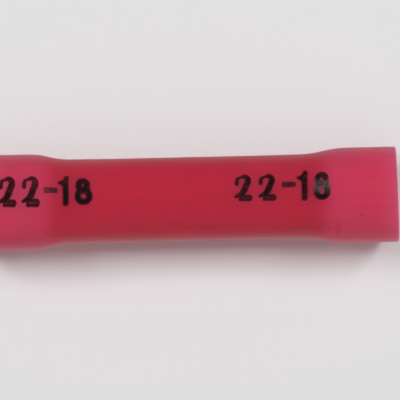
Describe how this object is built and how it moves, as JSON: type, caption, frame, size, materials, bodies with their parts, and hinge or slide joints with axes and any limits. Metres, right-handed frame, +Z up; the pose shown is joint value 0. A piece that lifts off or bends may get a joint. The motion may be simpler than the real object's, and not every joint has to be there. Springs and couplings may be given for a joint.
{
  "type": "butt splice connector",
  "caption": "Insulated butt splice: a translucent nylon tube with flared wire entries grips a tinned copper crimp barrel that has serrated bores and a rolled centre stop.",
  "frame": {"origin": "centre of the sleeve's lower cut end, on the splice's axis", "axes": "+Z up along the splice's axis, from the end it stands on to the other end; -Y faces the side that carries the print"},
  "size_m": [0.0058, 0.0058, 0.026],
  "materials": {
    "red_nylon": "extruded translucent nylon, satin, lighter where it was hot flared",
    "tinned_copper": "drawn copper tube with satin tin plate",
    "stamping_ink": "hot-stamped black ink film"
  },
  "bodies": {
    "root": {"insulating_sleeve": "red_nylon", "crimp_barrel": "tinned_copper"}
  },
  "joints": []
}
